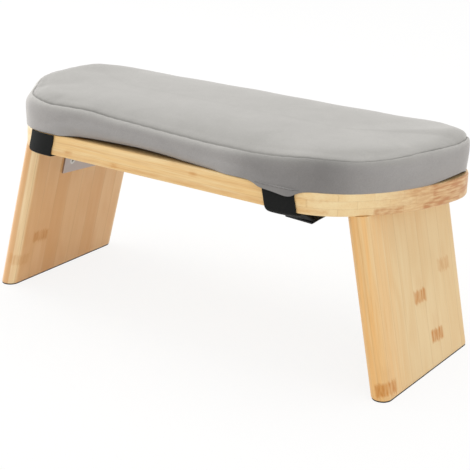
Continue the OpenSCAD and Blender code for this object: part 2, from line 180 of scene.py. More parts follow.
def bambooMaterial(name, look, seed):
    # laminated bamboo, planed and clear lacquered: long fibres in glued strips, with brown growth nodes
    m = newMaterial(name)
    grain = addNode(m, "Attribute", out="Vector", attribute_name="grain")
    edge, knot, endGrainAndRimShade = (addNode(m, "Attribute", out="Fac", attribute_name=key)
                       for key in ("edge", "knot", "endGrainAndRimShade"))
    axes = addNode(m, "SeparateXYZ", {0: grain}).node.outputs
    across, depth = axes[1], axes[2]
    # ply = depth over the ply's thickness, a hair deeper so that a face never falls between two plies;
    # the strips of each ply start a set distance further along
    plyPlace = addNode(m, "Math", {0: depth, 1: 0.005}, operation="ADD")
    plyPlace = addNode(m, "Math", {0: plyPlace, 1: look["plyThickness"]}, operation="DIVIDE")
    ply = addNode(m, "Math", {0: plyPlace}, operation="FLOOR")
    shift = addNode(m, "Math", {0: ply, 1: look["plyShift"], 2: across}, operation="MULTIPLY_ADD")
    shift = addNode(m, "Math", {0: shift, 1: look["firstJoint"]}, operation="SUBTRACT")
    stripPlace = addNode(m, "Math", {0: shift, 1: look["stripWidth"]}, operation="DIVIDE")
    strip = addNode(m, "Math", {0: stripPlace}, operation="FLOOR")
    # each strip of each ply has its own tone and its own stretch of the noises
    cell = addNode(m, "CombineXYZ", {0: strip, 1: ply, 2: seed})
    tone = addNode(m, "TexWhiteNoise", {"Vector": cell}, out="Value", noise_dimensions="3D")
    offset = addNode(m, "VectorMath", {0: cell, 1: (31.7, 17.3, 5.1)}, operation="MULTIPLY")
    noises = {}
    for key, (scale, detail, rough, bend, moved) in grainNoises.items():
        place = addNode(m, "VectorMath", {0: grain, 1: scale}, operation="MULTIPLY")
        if moved:
            place = addNode(m, "VectorMath", {0: place, 1: offset}, operation="ADD")
        noises[key] = addNode(m, "TexNoise", {"Vector": place, "Scale": 1.0, "Detail": detail,
                                              "Roughness": rough, "Distortion": bend})
    band, fibre = noises["band"], noises["fibre"]
    # share of honey in the pale wood = the strip's tone + bands + clouds
    share = addNode(m, "MapRange", {"Value": tone, "To Min": 0.1, "To Max": 0.1 + look["toneRange"]})
    for noise, amount in ((band, look["bands"]), (noises["cloud"], look["clouds"])):
        part = addNode(m, "MapRange", {"Value": noise, "From Min": 0.32, "From Max": 0.68,
                                       "To Min": -0.4 * amount, "To Max": 0.6 * amount})
        share = addNode(m, "Math", {0: share, 1: part}, operation="ADD", use_clamp=True)
    # the strips' narrow sides, on the long edges, are warmer and show their fibres as streaks; the same
    # warm colour is painted shade on the board's top rim and a painted highlight on the left leg's inner ply
    warm = addNode(m, "MapRange", {"Value": band, "From Min": 0.3, "From Max": 0.6,
                                   "To Min": look["edgeEven"]})
    warm = addNode(m, "Math", {0: edge, 1: warm}, operation="MULTIPLY", use_clamp=True)
    amount = addNode(m, "MapRange", {"Value": edge, "To Min": look["streaks"],
                                     "To Max": look["edgeStreaks"]})
    streak = addNode(m, "MapRange", {"Value": fibre, "From Min": 0.45, "From Max": 0.72})
    streak = addNode(m, "Math", {0: streak, 1: amount}, operation="MULTIPLY", use_clamp=True)
    # glue lines fade along their length, and those between plies keep 0.5 mm clear of the panel's two faces
    fading = addNode(m, "MapRange", {"Value": band, "From Min": 0.3, "From Max": 0.6, "To Min": 0.35})
    half = look["thickness"] / 2
    inside = addNode(m, "Math", {0: depth, 1: half}, operation="SUBTRACT")
    inside = addNode(m, "Math", {0: inside}, operation="ABSOLUTE")
    inside = addNode(m, "MapRange", {"Value": inside, "From Min": half - 1, "From Max": half - 0.5,
                                     "To Min": 1.0, "To Max": 0.0})
    inside = addNode(m, "Math", {0: inside, 1: fading}, operation="MULTIPLY")
    lines = []
    for place, size, strength, visible in ((stripPlace, look["stripWidth"], look["stripLine"], fading),
                                           (plyPlace, look["plyThickness"], look["plyLine"], inside)):
        part = addNode(m, "Math", {0: place}, operation="FRACT")
        part = addNode(m, "Math", {0: part, 1: 0.5}, operation="SUBTRACT")
        part = addNode(m, "Math", {0: part}, operation="ABSOLUTE")
        line = addNode(m, "MapRange", {"Value": part, "From Min": 0.5 - look["glueWidth"] / size,
                                       "From Max": 0.5, "To Max": strength})
        lines.append(addNode(m, "Math", {0: line, 1: visible}, operation="MULTIPLY"))
    # growth nodes: painted patches broken into bars along the grain, whose ends run out unevenly
    bars = addNode(m, "MapRange", {"Value": noises["bars"], "From Min": 0.36, "From Max": 0.6,
                                   "To Min": 0.4})
    mark = addNode(m, "Math", {0: knot, 1: bars}, operation="MULTIPLY", use_clamp=True)
    # end grain: darker and pinker, lined along the plies; on the board's top rim the same brown is painted
    # shade
    ends = addNode(m, "MapRange", {"Value": noises["endLines"], "From Min": 0.35, "From Max": 0.62,
                                   "To Min": 0.45})
    ends = addNode(m, "Math", {0: endGrainAndRimShade, 1: ends}, operation="MULTIPLY", use_clamp=True)
    # the colours lie over each other in this order, each by its own share
    wood = addNode(m, "Mix", {0: share, 6: linearColour(look["pale"]), 7: linearColour(look["honey"])},
                   out=2, data_type="RGBA")
    for amount, colour in ((warm, "edge"), (streak, "fibre"), (lines[0], "glueLine"),
                           (lines[1], "glueLine"), (mark, "node"), (ends, "endGrain")):
        wood = addNode(m, "Mix", {0: amount, 6: wood, 7: linearColour(look[colour])}, out=2,
                       data_type="RGBA")
    gloss = addNode(m, "MapRange", {"Value": fibre, "To Min": look["roughness"] - 0.06,
                                    "To Max": look["roughness"] + 0.1})
    bump = addNode(m, "Bump", {"Strength": 0.15, "Distance": 0.00006, "Height": fibre})
    shader = addNode(m, "BsdfPrincipled", {"Base Color": wood, "Roughness": gloss, "Normal": bump,
                                           "IOR": 1.5, "Coat Weight": 0.12, "Coat Roughness": 0.28})
    return finishMaterial(m, shader)


# clouds are 11.7 mm wide; the rolling marks, in waves per metre, are 0.4 mm apart and 17 mm long
zincLook = {"colour": "#b2a59e", "roughness": 0.36, "cloudSize": 11.667, "rollingMarks": (2400, 60, 2400)}


def zincMaterial(name, look):
    # zinc-plated pressed steel: a bright, slightly cloudy grey with faint rolling marks
    m = newMaterial(name)
    place = addNode(m, "TexCoord", out="Object")
    cloud = addNode(m, "TexNoise", {"Vector": place, "Scale": 1000 / look["cloudSize"], "Detail": 5.0,
                                    "Roughness": 0.6})
    drawnOut = addNode(m, "VectorMath", {0: place, 1: look["rollingMarks"]}, operation="MULTIPLY")
    rolled = addNode(m, "TexNoise", {"Vector": drawnOut, "Scale": 1.0, "Detail": 2.0})
    tint = addNode(m, "Mix", {0: cloud, 6: linearColour(look["colour"], 0.9),
                              7: linearColour(look["colour"])}, out=2, data_type="RGBA")
    rough = addNode(m, "MapRange", {"Value": cloud, "To Min": look["roughness"] - 0.08,
                                    "To Max": look["roughness"] + 0.1})
    bump = addNode(m, "Bump", {"Strength": 0.2, "Distance": 0.00003, "Height": rolled})
    shader = addNode(m, "BsdfPrincipled", {"Base Color": tint, "Metallic": 0.9, "Roughness": rough,
                                           "Normal": bump})
    return finishMaterial(m, shader)


rubberLook = {"colour": "#191817", "peel": 0.625, "roughness": 0.85}


def rubberMaterial(name, look):
    # moulded rubber sheet: near black, matt, with a fine orange-peel skin about 0.6 mm across
    m = newMaterial(name)
    place = addNode(m, "TexCoord", out="Object")
    skin = addNode(m, "TexNoise", {"Vector": place, "Scale": 1000 / look["peel"], "Detail": 2.0})
    tint = addNode(m, "Mix", {0: skin, 6: linearColour(look["colour"]),
                              7: linearColour(look["colour"], 1.5)}, out=2, data_type="RGBA")
    bump = addNode(m, "Bump", {"Strength": 0.4, "Distance": 0.00005, "Height": skin})
    shader = addNode(m, "BsdfPrincipled", {"Base Color": tint, "Roughness": look["roughness"],
                                           "Normal": bump})
    return finishMaterial(m, shader)


# nap and brushed are the sizes, in millimetres, of the nap's tufts and of the patches that lie another way
# top and side are one cloth: the top's lighter colour is painted light, the side's darker one painted shade
suedeLook = {"top": "#a2a09c", "side": "#979492", "sheen": "#f1efec", "nap": 1.1, "napTone": 0.07,
             "brushed": 38.0, "brushedTone": 0.05, "roughness": 0.9}


def suedeMaterial(name, look):
    # brushed polyester microsuede: a soft short nap that lightens where it is seen along the surface
    m = newMaterial(name)
    place = addNode(m, "TexCoord", out="Object")
    nap = addNode(m, "TexNoise", {"Vector": place, "Scale": 1000 / look["nap"], "Detail": 3.0,
                                  "Roughness": 0.7})
    brushed = addNode(m, "TexNoise", {"Vector": place, "Scale": 1000 / look["brushed"], "Detail": 5.0,
                                      "Roughness": 0.68, "Distortion": 0.6})
    panel, seamShadow, tone = (addNode(m, "Attribute", out="Fac", attribute_name=key)
                         for key in ("panel", "seamShadow", "paintedLight"))
    # the top's lighter colour is painted light from above; beside the seam the side takes it too, as a
    # painted highlight
    cloth = addNode(m, "Mix", {0: panel, 6: linearColour(look["side"]), 7: linearColour(look["top"])},
                    out=2, data_type="RGBA")
    # tone = the painted light and sheen at that place, times the nap's and the brushing's shares
    for noise, amount in ((nap, look["napTone"]), (brushed, look["brushedTone"])):
        part = addNode(m, "MapRange", {"Value": noise, "From Min": 0.3, "From Max": 0.7,
                                       "To Min": 1 - amount, "To Max": 1 + amount})
        tone = addNode(m, "Math", {0: tone, 1: part}, operation="MULTIPLY")
    cloth = addNode(m, "VectorMath", {0: cloth, "Scale": tone}, operation="SCALE")
    # the seam's dark line: painted shade in its groove
    cloth = addNode(m, "Mix", {0: seamShadow, 6: cloth, 7: linearColour(look["side"], 0.4)}, out=2,
                    data_type="RGBA")
    bump = addNode(m, "Bump", {"Strength": 0.5, "Distance": 0.00012, "Height": nap})
    shader = addNode(m, "BsdfPrincipled", {
        "Base Color": cloth, "Roughness": look["roughness"], "Normal": bump, "Specular IOR Level": 0.2,
        "Sheen Weight": 0.55, "Sheen Roughness": 0.35, "Sheen Tint": linearColour(look["sheen"])})
    return finishMaterial(m, shader)


webbingLook = {"colour": "#161716", "ribSpacing": 1.3, "weftSpacing": 0.9, "weftShare": 0.45,
               "roughness": 0.78}


def webbingMaterial(name, look):
    # woven elastic webbing: ribs of covered rubber along it, bound by finer cross threads
    m = newMaterial(name)
    weave = addNode(m, "Attribute", out="Vector", attribute_name="weave")
    axes = addNode(m, "SeparateXYZ", {0: weave}).node.outputs
    waves = []
    for place, spacing in ((axes[1], look["ribSpacing"]), (axes[0], look["weftSpacing"])):
        turn = addNode(m, "Math", {0: place, 1: 2 * math.pi / spacing}, operation="MULTIPLY")
        waves.append(addNode(m, "Math", {0: turn}, operation="SINE"))
    both = addNode(m, "Math", {0: waves[1], 1: look["weftShare"], 2: waves[0]}, operation="MULTIPLY_ADD")
    height = addNode(m, "MapRange", {"Value": both, "From Min": -1 - look["weftShare"],
                                     "From Max": 1 + look["weftShare"]})
    # lighter on the ribs and darker between them: painted highlight and painted shade that follow the
    # weave's height
    tint = addNode(m, "Mix", {0: height, 6: linearColour(look["colour"], 0.55),
                              7: linearColour(look["colour"], 1.45)}, out=2, data_type="RGBA")
    bump = addNode(m, "Bump", {"Strength": 0.7, "Distance": 0.00022, "Height": height})
    shader = addNode(m, "BsdfPrincipled", {
        "Base Color": tint, "Roughness": look["roughness"], "Normal": bump, "Specular IOR Level": 0.15,
        "Sheen Weight": 0.03, "Sheen Roughness": 0.5})
    return finishMaterial(m, shader)


tapeLook = {"colour": "#171718", "hookSpacing": 1.5, "roughness": 0.6}


def hookMaterial(name, look):
    # hook side of touch tape: rows of small nylon hooks on a woven ground, drawn 1.5 mm apart so as to show
    m = newMaterial(name)
    weave = addNode(m, "Attribute", out="Vector", attribute_name="weave")
    spots = addNode(m, "TexVoronoi", {"Vector": weave, "Scale": 1 / look["hookSpacing"], "Randomness": 0.25},
                    out="Distance")
    hooks = addNode(m, "MapRange", {"Value": spots, "From Min": 0.15, "From Max": 0.5, "To Min": 1.0,
                                    "To Max": 0.0})
    # lighter on the hooks and darker on the ground between them: painted highlight and painted shade that
    # follow the hooks' height
    tint = addNode(m, "Mix", {0: hooks, 6: linearColour(look["colour"], 0.6),
                              7: linearColour(look["colour"], 1.6)}, out=2, data_type="RGBA")
    bump = addNode(m, "Bump", {"Strength": 0.9, "Distance": 0.0004, "Height": hooks})
    shader = addNode(m, "BsdfPrincipled", {"Base Color": tint, "Roughness": look["roughness"],
                                           "Normal": bump})
    return finishMaterial(m, shader)


gripLook = {"colour": "#5c5a58", "dot": "#8b8886", "dotSpacing": 5.0, "roughness": 0.8}


def gripMaterial(name, look):
    # polyester base cloth printed with rows of small rubber dots that keep the cushion from sliding
    m = newMaterial(name)
    place = addNode(m, "TexCoord", out="Object")
    spots = addNode(m, "TexVoronoi", {"Vector": place, "Scale": 1000 / look["dotSpacing"],
                                      "Randomness": 0.0}, out="Distance")
    dots = addNode(m, "MapRange", {"Value": spots, "From Min": 0.22, "From Max": 0.3, "To Min": 1.0,
                                   "To Max": 0.0})
    tint = addNode(m, "Mix", {0: dots, 6: linearColour(look["colour"]), 7: linearColour(look["dot"])},
                   out=2, data_type="RGBA")
    bump = addNode(m, "Bump", {"Strength": 0.8, "Distance": 0.0003, "Height": dots})
    shader = addNode(m, "BsdfPrincipled", {"Base Color": tint, "Roughness": look["roughness"],
                                           "Normal": bump})
    return finishMaterial(m, shader)


materials = {
    "board": bambooMaterial("laminatedBambooBoard", bambooLook, 3.0),
    "rightLeg": bambooMaterial("laminatedBambooRightLeg", {**bambooLook, **legLook}, 11.0),
    "leftLeg": bambooMaterial("laminatedBambooLeftLeg", {**bambooLook, **legLook, **warmShadeAndHighlightLook}, 14.0),
    "zinc": zincMaterial("zincPlatedSteel", zincLook),
    "pin": zincMaterial("pinSteel", {**zincLook, "colour": "#a9a8a8", "roughness": 0.28}),
    "screw": zincMaterial("screwSteel", {**zincLook, "colour": "#c6c3bd", "roughness": 0.3}),
    "rubber": rubberMaterial("mouldedRubber", rubberLook),
    "suede": suedeMaterial("brushedMicrosuede", suedeLook),
    "webbing": webbingMaterial("wovenElasticWebbing", webbingLook),
    "hook": hookMaterial("nylonHookTape", tapeLook),
    "grip": gripMaterial("dottedGripCloth", gripLook),
}
print("materials made:", len(materials))


def dress(piece, material, body, nodes):
    # gives a piece its material and the body it rides on, and hides the nodes it replaces
    piece.data.materials.clear()
    piece.data.materials.append(materials[material])
    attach(piece, body)
    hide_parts(*nodes)


# Seat board

board = {
    "length": 480.0, "thickness": 21.0, "rearCorner": 64.0, "frontCorner": 64.0, "endArc": 206.0,
    "easing": 1.4, "topEasing": 2.4, "easingSteps": 4, "columns": 400,
    # strip ends that show pinker: from and to, down the slope, the ply counted from below, and how strongly;
    # they show only further than endZone from the middle
    "pinkEnds": [(-66, -38, 0, 0.6), (-15, 7, 0, 0.85), (7, 40, 0, 0.45), (-2, 33, 1, 0.75),
                 (33, 70, 1, 0.4), (-33, -2, 2, 0.2), (-2, 80, 2, 0.5)],
    "endZone": 150.0,
    # how much the round ends show end grain, and how much of its brown the rim of the top takes as painted
    # shade
    "endCut": 0.6, "rimShade": 0.3,
    # growth nodes on the rear edge: place along the board, height, half length
    "rearNodes": [(-118, 6, 7), (40, 14, 5), (-57, 5, 6)], "rearNodeStrength": 0.5, "rearZone": 11.0,
    # brown streaks along the rear edge: lowest and highest, and how strongly
    "streaks": [(1.5, 5.5, 0.4), (13, 16, 0.2)],
    # growth nodes strewn over the two faces, and how far from the middle they reach
    "faceNodes": 14, "faceReach": 200.0, "faceNodeStrength": 0.8,
}


def endArcs():
    # centre, radius, first and last angle of the three arcs of the right end, each tangent to the next
    flank = np.array([board["length"] / 2 - board["endArc"], seat["frontEdge"] - board["frontCorner"]])
    rearY = seat["rearEdge"] + board["rearCorner"]
    run = math.sqrt((board["endArc"] - board["rearCorner"]) ** 2 - (flank[1] - rearY) ** 2)
    bend = math.atan2(rearY - flank[1], run)
    front = np.array([board["length"] / 2 - board["frontCorner"], flank[1]])
    return [(np.array([flank[0] + run, rearY]), board["rearCorner"], -math.pi / 2, bend),
            (flank, board["endArc"], bend, 0.0), (front, board["frontCorner"], 0.0, math.pi / 2)]


def outlineLoop(count):
    # points x, u and outward direction at equal steps of length round the board, anticlockwise from mid-rear
    pieces = []
    for centre, radius, first, last in endArcs():
        angle = np.linspace(first, last, 200)
        arc = centre[:, None] + radius * np.array([np.cos(angle), np.sin(angle)])
        pieces.append(np.stack([*arc, angle], -1))
    right = np.concatenate(pieces)
    left = right[::-1] * [-1, 1, -1] + [0, 0, math.pi]
    start, end = [[0, seat["rearEdge"], -math.pi / 2]], [[0, seat["rearEdge"], 1.5 * math.pi]]
    loop = np.concatenate([start, right, left, end])
    length = np.concatenate([[0], np.cumsum(np.hypot(*np.diff(loop[:, :2], axis=0).T))])
    at = np.arange(count) / count * length[-1]
    return np.stack([np.interp(at, length, loop[:, i]) for i in range(3)], -1), length[-1]


def ringAt(loop, out, height):
    # the outline moved out along its own normals
    x, u, angle = loop.T
    return np.stack([x + out * np.cos(angle), u + out * np.sin(angle), np.broadcast_to(height, x.shape)], -1)


def drawnIn(ring, share):
    # points of a ring drawn towards the spine, the line along the middle between the two ends
    half = (board["length"] - (seat["frontEdge"] - seat["rearEdge"])) / 2
    middle = (seat["rearEdge"] + seat["frontEdge"]) / 2
    foot = np.stack([np.clip(ring[:, 0], -half, half), np.full(len(ring), middle), ring[:, 2]], -1)
    return foot + (ring - foot) * [share, share, 1]


def makeBoard():
    # rings up a section: flat underside, quarter-round easing, upright edge, a larger easing, flat top
    loop = outlineLoop(board["columns"])[0]
    turn = np.linspace(0, math.pi / 2, board["easingSteps"] + 1)
    quarter = np.stack([np.sin(turn) - 1, 1 - np.cos(turn)], -1)
    low = quarter * board["easing"]
    sides = np.linspace(board["easing"], board["thickness"] - board["topEasing"], 10)[1:-1]
    high = quarter[::-1] * [1, -1] * board["topEasing"] + [0, board["thickness"]]
    section = np.concatenate([low, np.stack([0 * sides, sides], -1), high])
    rings = [ringAt(loop, out, height) for out, height in section]
    shares = np.linspace(0.04, 0.97, 14)
    under = [drawnIn(rings[0], k) for k in shares]
    over = [drawnIn(rings[-1], k) for k in shares[::-1]]
    grid = np.array(under + rings + over)
    grain = grid.reshape(-1, 3)
    x, u, v = grain.T
    # the edge's warmer fibres show little at the ends; on the first two rings of the top, its rim, the warm
    # colour is painted shade
    side = np.repeat([0.0, 1.0, 0.0], [len(under), len(rings), len(over)])
    rim = side.copy()
    rim[len(under) + len(rings):][:2] = 1
    ends = np.abs(np.cos(loop[:, 2]))
    edge = np.outer(rim, 1 - 0.85 * smoothStep(0.1, 0.5, ends)).ravel()
    onSide, onRim = np.repeat(side, len(loop)), np.repeat(rim - side, len(loop))
    # end grain: the ends that face left and right and the pinker strips; on the rim of the top its brown is
    # painted shade
    endGrainAndRimShade = np.outer(side, board["endCut"] * smoothStep(0.8, 1.0, ends)).ravel() + board["rimShade"] * onRim
    ply = np.floor(v / bambooLook["plyThickness"])
    for first, last, level, strength in board["pinkEnds"]:
        near = smoothStep(first - 1.5, first + 1.5, u) * (1 - smoothStep(last - 1.5, last + 1.5, u))
        endGrainAndRimShade += strength * near * (ply == level) * onSide * (np.abs(x) > board["endZone"])
    # growth nodes and streaks of the rear edge fade out at their borders
    onRear = onSide * (u < seat["rearEdge"] + board["rearZone"])
    knot = np.zeros(len(grain))
    for place, height, half in board["rearNodes"]:
        near = smoothStep(half, half / 3, np.abs(x - place)) * smoothStep(4, 1, np.abs(v - height))
        knot += board["rearNodeStrength"] * near * onRear
    for low, high, strength in board["streaks"]:
        near = smoothStep(low - 1, low + 1, v) * smoothStep(high + 1, high - 1, v)
        knot += strength * near * onRear
    rng = np.random.default_rng(5)
    for place in rng.uniform(-board["faceReach"], board["faceReach"], board["faceNodes"]):
        row = rng.integers(-4, 4) * bambooLook["stripWidth"] + 4
        near = smoothStep(9, 5, np.abs(x - place)) * smoothStep(12, 9, np.abs(u - row))
        knot += board["faceNodeStrength"] * near * (1 - onSide)
    faces = stripFaces(len(grid), len(loop))
    values = {"grain": grain, "knot": np.clip(knot, 0, 1), "endGrainAndRimShade": np.clip(endGrainAndRimShade, 0, 1), "edge": edge}
    piece = meshPiece("seatBoard", fromSeat(grain), faces, values)
    dress(piece, "board", "seat", ["seat_board"])


makeBoard()
print("seat board made")


# Legs

leg = {
    "inset": 31.0, "thickness": 20.0, "width": 162.0, "splay": 13.0, "stopGap": 0.1, "padThickness": 1.2,
    "easing": 0.7, "spacing": 1.5, "rows": 110,
    # the right leg's outer face turns golden from one place across it to another, by this share; on the left
    # leg a painted highlight along the rounded edge covers the inner ply and ends between these two depths
    "goldStrip": (-25, -64, 0.5), "paintedHighlightDepths": (7.4, 6.2),
    # growth nodes: place across the leg, distance below the seat, 1 for the outer face and 0 for the inner
    # one, and how strong the mark is
    "rightNodes": [(48.6, 75, 1, 0.5), (-0.5, 95, 1, 0.95), (22.5, 138, 1, 1.0), (-71, 164, 1, 1.0),
                   (-40, 60, 0, 0.8), (10, 118, 0, 0.9)],
    "leftNodes": [(-49, 117, 0, 0.8), (-73, 142, 0, 0.35), (12, 22, 0, 0.4), (48, 24, 0, 0.35),
                  (-10, 66, 1, 0.8), (41, 128, 1, 0.8)],
}


def legSection():
    # stadium section of the panel: place across, place through the thickness, and outward direction of each
    # point; the outer flat and the front half circle are turned half a circle for the other two
    radius = leg["thickness"] / 2
    straight = (leg["width"] - leg["thickness"]) / 2
    flat = np.arange(-straight, straight, leg["spacing"])
    turn = np.linspace(math.pi / 2, -math.pi / 2, 18)[:-1]
    outer = np.stack([flat, 0 * flat + 2 * radius, 0 * flat, 0 * flat + 1], -1)
    front = np.stack([straight + radius * np.cos(turn), radius + radius * np.sin(turn), np.cos(turn),
                      np.sin(turn)], -1)
    half = np.concatenate([outer, front])
    middle = np.array([0, radius, 0, 0])
    return np.concatenate([half, middle - (half - middle)])


def makeLeg(side):
    # the section carried down the leaning leg from the seat's underside to the level top of the foot pad
    label = "right" if side > 0 else "left"
    section = legSection()
    across, through, normalU, normalT = section.T
    lean = math.radians(leg["splay"])
    top = (leg["stopGap"] + through * math.sin(lean)) / math.cos(lean)
    floorV = (leg["padThickness"] - seat["height"] + across * tiltSin) / tiltCos
    bottom = (through * math.sin(lean) - floorV) / math.cos(lean)
    ease = leg["easing"]
    down = np.linspace(0, 1, leg["rows"])[:, None]
    reach = np.concatenate([top + (bottom - ease - top) * down, bottom[None] - 0.3 * ease, bottom[None]])
    inset = np.concatenate([np.zeros(leg["rows"]), [0.3 * ease, ease]])[:, None]
    u, t = across - inset * normalU, through - inset * normalT
    startX = board["length"] / 2 - leg["inset"] - leg["thickness"] / math.cos(lean)
    x = startX + t * math.cos(lean) + reach * math.sin(lean)
    v = t * math.sin(lean) - reach * math.cos(lean)
    points = np.stack([side * x, u, v], -1).reshape(-1, 3)
    grain = np.stack([reach, u + 0 * reach, t + 0 * reach], -1).reshape(-1, 3)
    # a growth node: a patch with ragged ends over about 20 mm, and a faint tail along the fibres
    knot = np.zeros(len(grain))
    for place, drop, face, strength in leg[label + "Nodes"]:
        away, above = np.abs(grain[:, 1] - place), drop - grain[:, 0]
        ragged = 1.2 * np.sin(1.5 * (grain[:, 1] - place) + 2 * np.sin(0.4 * grain[:, 1]))
        near = smoothStep(12, 9.5, away) * smoothStep(7.5, 4.5, np.abs(above + ragged))
        tail = 0.15 * smoothStep(9, 4, away) * smoothStep(22, 8, np.abs(above - 6))
        onFace = np.abs(grain[:, 2] - face * leg["thickness"]) < leg["thickness"] / 2
        knot += strength * np.maximum(near, tail) * onFace
    endGrainAndRimShade = np.zeros(reach.shape)
    endGrainAndRimShade[-1] = 1
    edge = smoothStep(0.15, 0.5, np.abs(normalU))
    if side > 0:
        first, last, share = leg["goldStrip"]
        edge = np.maximum(edge, share * smoothStep(first, last, across) * (through > leg["thickness"] / 2))
    else:
        # the left leg's edge colour is a painted highlight on the rounded edge's inner ply
        edge = edge * smoothStep(*leg["paintedHighlightDepths"], through)
    edge = np.broadcast_to(edge, endGrainAndRimShade.shape)
    values = {"grain": grain, "knot": np.clip(knot, 0, 1), "endGrainAndRimShade": endGrainAndRimShade.ravel(), "edge": edge.ravel()}
    piece = meshPiece(label + "LegPanel", fromSeat(points), ringFaces(*reach.shape), values)
    dress(piece, label + "Leg", label + "_leg", [label + "_leg"])


for side in (-1, 1):
    makeLeg(side)
print("legs made")


# Hinges, screws and foot pads keep their own solids' shapes, with the edges broken

metal = {"leafEdge": 0.25, "pinEdge": 0.15, "screwEdge": 0.12, "padEdge": 0.3}


def softened(node, name, width):
    # a merged copy of a solid's mesh whose sharp edges are rounded
    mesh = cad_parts[node].data.copy()
    mesh.name = name
    work = bmesh.new()
    work.from_mesh(mesh)
    bmesh.ops.remove_doubles(work, verts=work.verts, dist=1e-6)
    work.to_mesh(mesh)
    work.free()
    mesh.polygons.foreach_set("use_smooth", np.ones(len(mesh.polygons), bool))
    mesh.set_sharp_from_angle(angle=math.radians(35))
    piece = bpy.data.objects.new(name, mesh)
    bpy.context.scene.collection.objects.link(piece)
    bevel = piece.modifiers.new("brokenEdge", "BEVEL")
    bevel.width = width / 1000
    bevel.segments = 2
    bevel.limit_method = "ANGLE"
    bevel.angle_limit = math.radians(40)
    return piece


for label in ("left", "right"):
    for node, name, body, finish, slot, width in (
            ("_seat_leaf", "SeatLeaf", "seat", "zinc", "zinc_plated_steel", metal["leafEdge"]),
            ("_leg_leaf", "LegLeaf", label + "_leg", "zinc", "zinc_plated_steel", metal["leafEdge"]),
            ("_hinge_pin", "HingePin", "seat", "pin", "pin_steel", metal["pinEdge"]),
            ("_seat_screws", "SeatScrews", "seat", "screw", "screw_steel", metal["screwEdge"]),
            ("_leg_screws", "LegScrews", label + "_leg", "screw", "screw_steel", metal["screwEdge"]),
            ("_foot_pad", "FootPad", label + "_leg", "rubber", "pad_rubber", metal["padEdge"])):
        piece = softened(label + node, label + name, width)
        dress(piece, finish, body, [label + node])
print("hinges, screws and foot pads made")


# Straps

strap = {
    "width": 34.5, "thickness": 1.5, "clearance": 0.2, "rightPlace": 138.8, "leftPlace": 156.0,
    "slant": 4.0, "grip": 62.0, "tapeSetback": 30.0, "tapeLength": 65.0, "tapeWidth": 30.0, "tapeShift": 2.5,
    "tapeRoll": 0.04, "rightDrop": 15.8, "leftDrop": 9.0, "overlap": 20.0, "flatShare": 0.35,
    # distances in from the edge between which a strap stops following the round corner and its sag evens out
    "followRun": (4, 26), "sagRun": (8, 34),
    # the rear strap turns in by cornerTurn at its left lower corner, over cornerDrop of height down from
    # cornerFrom, and its right selvedge keeps tightShare of the sag
    "cornerTurn": 7.0, "cornerFrom": 3.0, "cornerDrop": 7.0, "tightShare": 0.35,
    # middle of the rear strap below the board: distance in from the edge, height
    "rightSag": [(-0.95, 0.0), (-0.75, -1.6), (0.9, -3.4), (6.9, -5.6), (16.2, -8.6), (24.5, -11.4),
                 (31.5, -13.4)],
    "leftSag": [(-0.95, 0.0), (-0.75, -0.9), (0.9, -1.5), (6.9, -2.5), (16.2, -4.6), (24.5, -6.0),
                (31.5, -6.7)],
}
strap["stand"] = strap["clearance"] + strap["thickness"] / 2
tapeRear = seat["rearEdge"] + strap["tapeSetback"]


def layerHeight(side, u, layers):
    # height under the board: an even fall from the front edge to the tape's rear end, by the side's drop,
    # and a strap's thickness more for each layer above the lowest
    slope = strap["rightDrop" if side > 0 else "leftDrop"] / (seat["frontEdge"] - tapeRear)
    return (u - seat["frontEdge"]) * slope + (layers - 1) * strap["thickness"]


def smoothPath(points, step):
    # a curve of cubic Hermite spans through the points, cut at equal steps
    p = np.asarray(points, float)
    slope = np.gradient(p, axis=0)
    t = np.linspace(0, 1, 12, endpoint=False)[:, None, None]
    a, b = p[:-1], p[1:]
    curve = ((1 + 2 * t) * (1 - t) ** 2 * a + t * (1 - t) ** 2 * slope[:-1]
             + t * t * (3 - 2 * t) * b + t * t * (t - 1) * slope[1:])
    curve = np.concatenate([np.moveaxis(curve, 0, 1).reshape(-1, p.shape[1]), p[-1:]])
    length = np.concatenate([[0], np.cumsum(np.linalg.norm(np.diff(curve, axis=0), axis=1))])
    at = np.linspace(0, length[-1], max(3, int(length[-1] / step)))
    return np.stack([np.interp(at, length, curve[:, i]) for i in range(p.shape[1])], -1)


def edgeShift(x, way):
    # how far the board's edge lies inside its straight line at a place x, by the corner's circle, and the
    # edge's outward direction there
    centre, radius = endArcs()[0 if way < 0 else 2][:2]
    run = np.clip((np.abs(x) - centre[0]) / radius, 0, 0.95)
    rise = np.sqrt(1 - run ** 2)
    return radius * (1 - rise), np.sign(x) * run, rise


def ribbonShell(name, centre, thickness, along):
    # a band of even thickness about a surface of middle points, thinner at its two selvedges
    du = np.gradient(centre, axis=0)
    dw = np.gradient(centre, axis=1)
    normal = np.cross(du, dw)
    normal /= np.linalg.norm(normal, axis=-1, keepdims=True)
    columns = centre.shape[1]
    edge = np.minimum(np.arange(columns), np.arange(columns)[::-1])
    share = np.interp(edge, [0, 1, 2], [0.45, 0.85, 1.0])[None, :, None] * thickness / 2
    loop = np.concatenate([centre + normal * share, (centre - normal * share)[:, ::-1]], axis=1)
    across = np.concatenate([[0], np.cumsum(np.linalg.norm(np.diff(centre[0], axis=0), axis=1))])
    weave = np.zeros(loop.shape)
    weave[..., 0] = along[:, None]
    weave[..., 1] = np.concatenate([across, across[::-1]])[None]
    weave[..., 2] = np.repeat([0.0, thickness], columns)[None]
    faces = ringFaces(*loop.shape[:2])
    return meshPiece(name, fromSeat(loop.reshape(-1, 3)), faces, {"weave": weave.reshape(-1, 3)}, 50)


def bandPlaces(width):
    # places across a band, closer together at its selvedges
    half = width / 2
    return np.concatenate([[-half, -half + 0.25, -half + 0.8], np.linspace(-half + 3, half - 3, 9),
                           [half - 0.8, half - 0.25, half]])


